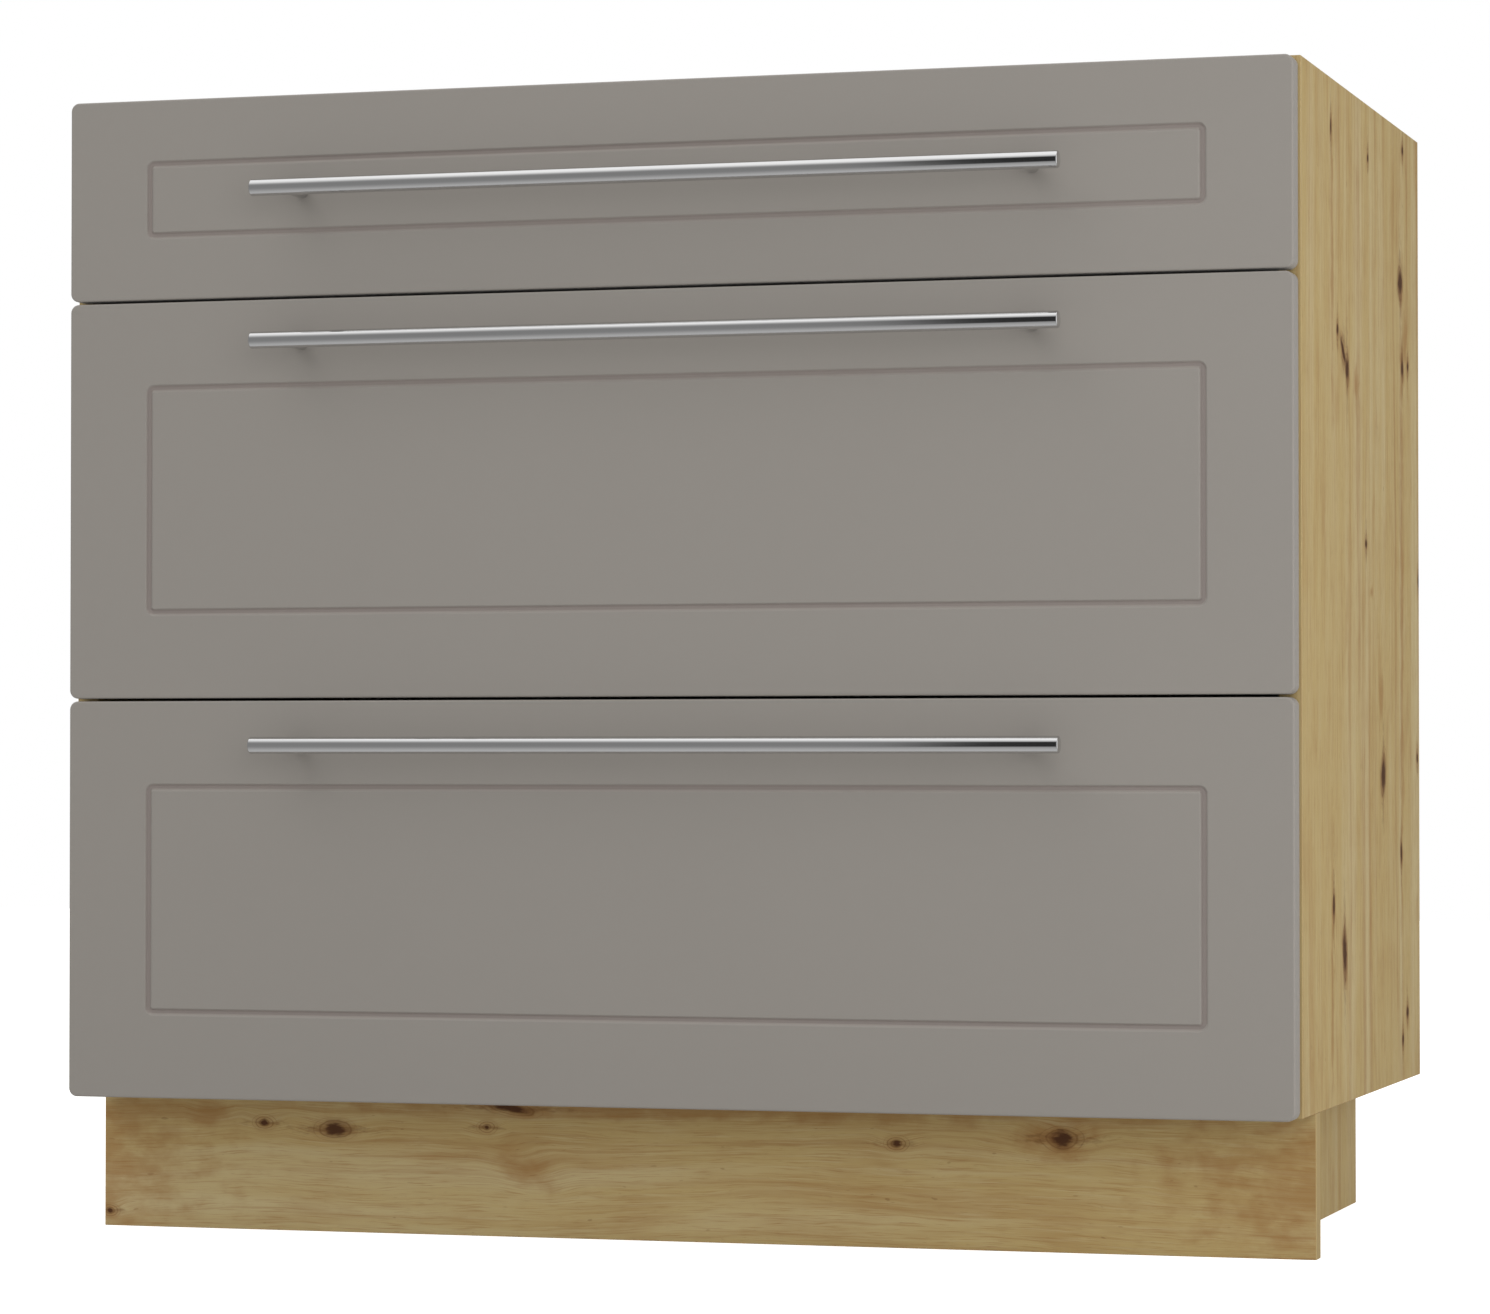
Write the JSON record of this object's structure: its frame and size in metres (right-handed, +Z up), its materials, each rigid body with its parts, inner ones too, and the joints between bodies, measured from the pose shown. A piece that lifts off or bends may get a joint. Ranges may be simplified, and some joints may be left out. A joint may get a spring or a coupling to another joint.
{
  "type": "base cabinet with drawers",
  "caption": "Kitchen base cabinet on a recessed plinth, with wide drawers behind milled slab fronts, bar handles and full-extension slides.",
  "frame": {"origin": "on the floor, under the centre of the cabinet's whole outline, handles included", "axes": "+Z up, -Y out of the drawer fronts towards the user, +X to the user's right along the fronts"},
  "size_m": [0.9, 0.558, 0.82],
  "materials": {
    "oak_decor_board": "melamine-faced chipboard with a printed, brushed oak decor",
    "taupe_lacquer": "milled fibreboard in a matt warm grey lacquer",
    "polished_chrome": "polished chrome plate",
    "zinc_steel": "bright zinc-plated cold-rolled steel",
    "white_board": "white melamine-faced chipboard",
    "white_hardboard": "thin white-faced hardboard"
  },
  "bodies": {
    "carcass": {"side_panel_left": "oak_decor_board", "side_panel_right": "oak_decor_board", "bottom_panel": "oak_decor_board", "top_rail_front": "oak_decor_board", "top_rail_rear": "oak_decor_board", "back_panel": "white_hardboard", "plinth_front": "oak_decor_board", "plinth_support_left": "oak_decor_board", "plinth_support_right": "oak_decor_board", "top_slide_left_cabinet_member": "zinc_steel", "top_slide_right_cabinet_member": "zinc_steel", "middle_slide_left_cabinet_member": "zinc_steel", "middle_slide_right_cabinet_member": "zinc_steel", "bottom_slide_left_cabinet_member": "zinc_steel", "bottom_slide_right_cabinet_member": "zinc_steel"},
    "top_drawer": {"top_drawer_front": "taupe_lacquer", "top_handle_bar": "polished_chrome", "top_handle_post_left": "polished_chrome", "top_handle_post_right": "polished_chrome", "top_handle_screw_left": "zinc_steel", "top_handle_screw_right": "zinc_steel", "top_box_side_left": "white_board", "top_box_side_right": "white_board", "top_box_front": "white_board", "top_box_back": "white_board", "top_box_bottom": "white_hardboard", "top_slide_left_drawer_member": "zinc_steel", "top_slide_right_drawer_member": "zinc_steel"},
    "middle_drawer": {"middle_drawer_front": "taupe_lacquer", "middle_handle_bar": "polished_chrome", "middle_handle_post_left": "polished_chrome", "middle_handle_post_right": "polished_chrome", "middle_handle_screw_left": "zinc_steel", "middle_handle_screw_right": "zinc_steel", "middle_box_side_left": "white_board", "middle_box_side_right": "white_board", "middle_box_front": "white_board", "middle_box_back": "white_board", "middle_box_bottom": "white_hardboard", "middle_slide_left_drawer_member": "zinc_steel", "middle_slide_right_drawer_member": "zinc_steel"},
    "bottom_drawer": {"bottom_drawer_front": "taupe_lacquer", "bottom_handle_bar": "polished_chrome", "bottom_handle_post_left": "polished_chrome", "bottom_handle_post_right": "polished_chrome", "bottom_handle_screw_left": "zinc_steel", "bottom_handle_screw_right": "zinc_steel", "bottom_box_side_left": "white_board", "bottom_box_side_right": "white_board", "bottom_box_front": "white_board", "bottom_box_back": "white_board", "bottom_box_bottom": "white_hardboard", "bottom_slide_left_drawer_member": "zinc_steel", "bottom_slide_right_drawer_member": "zinc_steel"},
    "top_left_runner": {"top_slide_left_intermediate_member": "zinc_steel"},
    "top_right_runner": {"top_slide_right_intermediate_member": "zinc_steel"},
    "middle_left_runner": {"middle_slide_left_intermediate_member": "zinc_steel"},
    "middle_right_runner": {"middle_slide_right_intermediate_member": "zinc_steel"},
    "bottom_left_runner": {"bottom_slide_left_intermediate_member": "zinc_steel"},
    "bottom_right_runner": {"bottom_slide_right_intermediate_member": "zinc_steel"}
  },
  "joints": [
    {"name": "top_drawer_slide", "type": "slide", "parent": "carcass", "child": "top_drawer", "axis": [0, -1, 0], "range_m": [0, 0.45]},
    {"name": "middle_drawer_slide", "type": "slide", "parent": "carcass", "child": "middle_drawer", "axis": [0, -1, 0], "range_m": [0, 0.45]},
    {"name": "bottom_drawer_slide", "type": "slide", "parent": "carcass", "child": "bottom_drawer", "axis": [0, -1, 0], "range_m": [0, 0.45]},
    {"name": "top_left_runner_slide", "type": "slide", "parent": "carcass", "child": "top_left_runner", "axis": [0, -1, 0], "range_m": [0, 0.225]},
    {"name": "top_right_runner_slide", "type": "slide", "parent": "carcass", "child": "top_right_runner", "axis": [0, -1, 0], "range_m": [0, 0.225]},
    {"name": "middle_left_runner_slide", "type": "slide", "parent": "carcass", "child": "middle_left_runner", "axis": [0, -1, 0], "range_m": [0, 0.225]},
    {"name": "middle_right_runner_slide", "type": "slide", "parent": "carcass", "child": "middle_right_runner", "axis": [0, -1, 0], "range_m": [0, 0.225]},
    {"name": "bottom_left_runner_slide", "type": "slide", "parent": "carcass", "child": "bottom_left_runner", "axis": [0, -1, 0], "range_m": [0, 0.225]},
    {"name": "bottom_right_runner_slide", "type": "slide", "parent": "carcass", "child": "bottom_right_runner", "axis": [0, -1, 0], "range_m": [0, 0.225]}
  ],
  "couplings": [
    {"joint": "top_left_runner_slide", "follows": "top_drawer_slide", "ratio": 0.5},
    {"joint": "top_right_runner_slide", "follows": "top_drawer_slide", "ratio": 0.5},
    {"joint": "middle_left_runner_slide", "follows": "middle_drawer_slide", "ratio": 0.5},
    {"joint": "middle_right_runner_slide", "follows": "middle_drawer_slide", "ratio": 0.5},
    {"joint": "bottom_left_runner_slide", "follows": "bottom_drawer_slide", "ratio": 0.5},
    {"joint": "bottom_right_runner_slide", "follows": "bottom_drawer_slide", "ratio": 0.5}
  ]
}
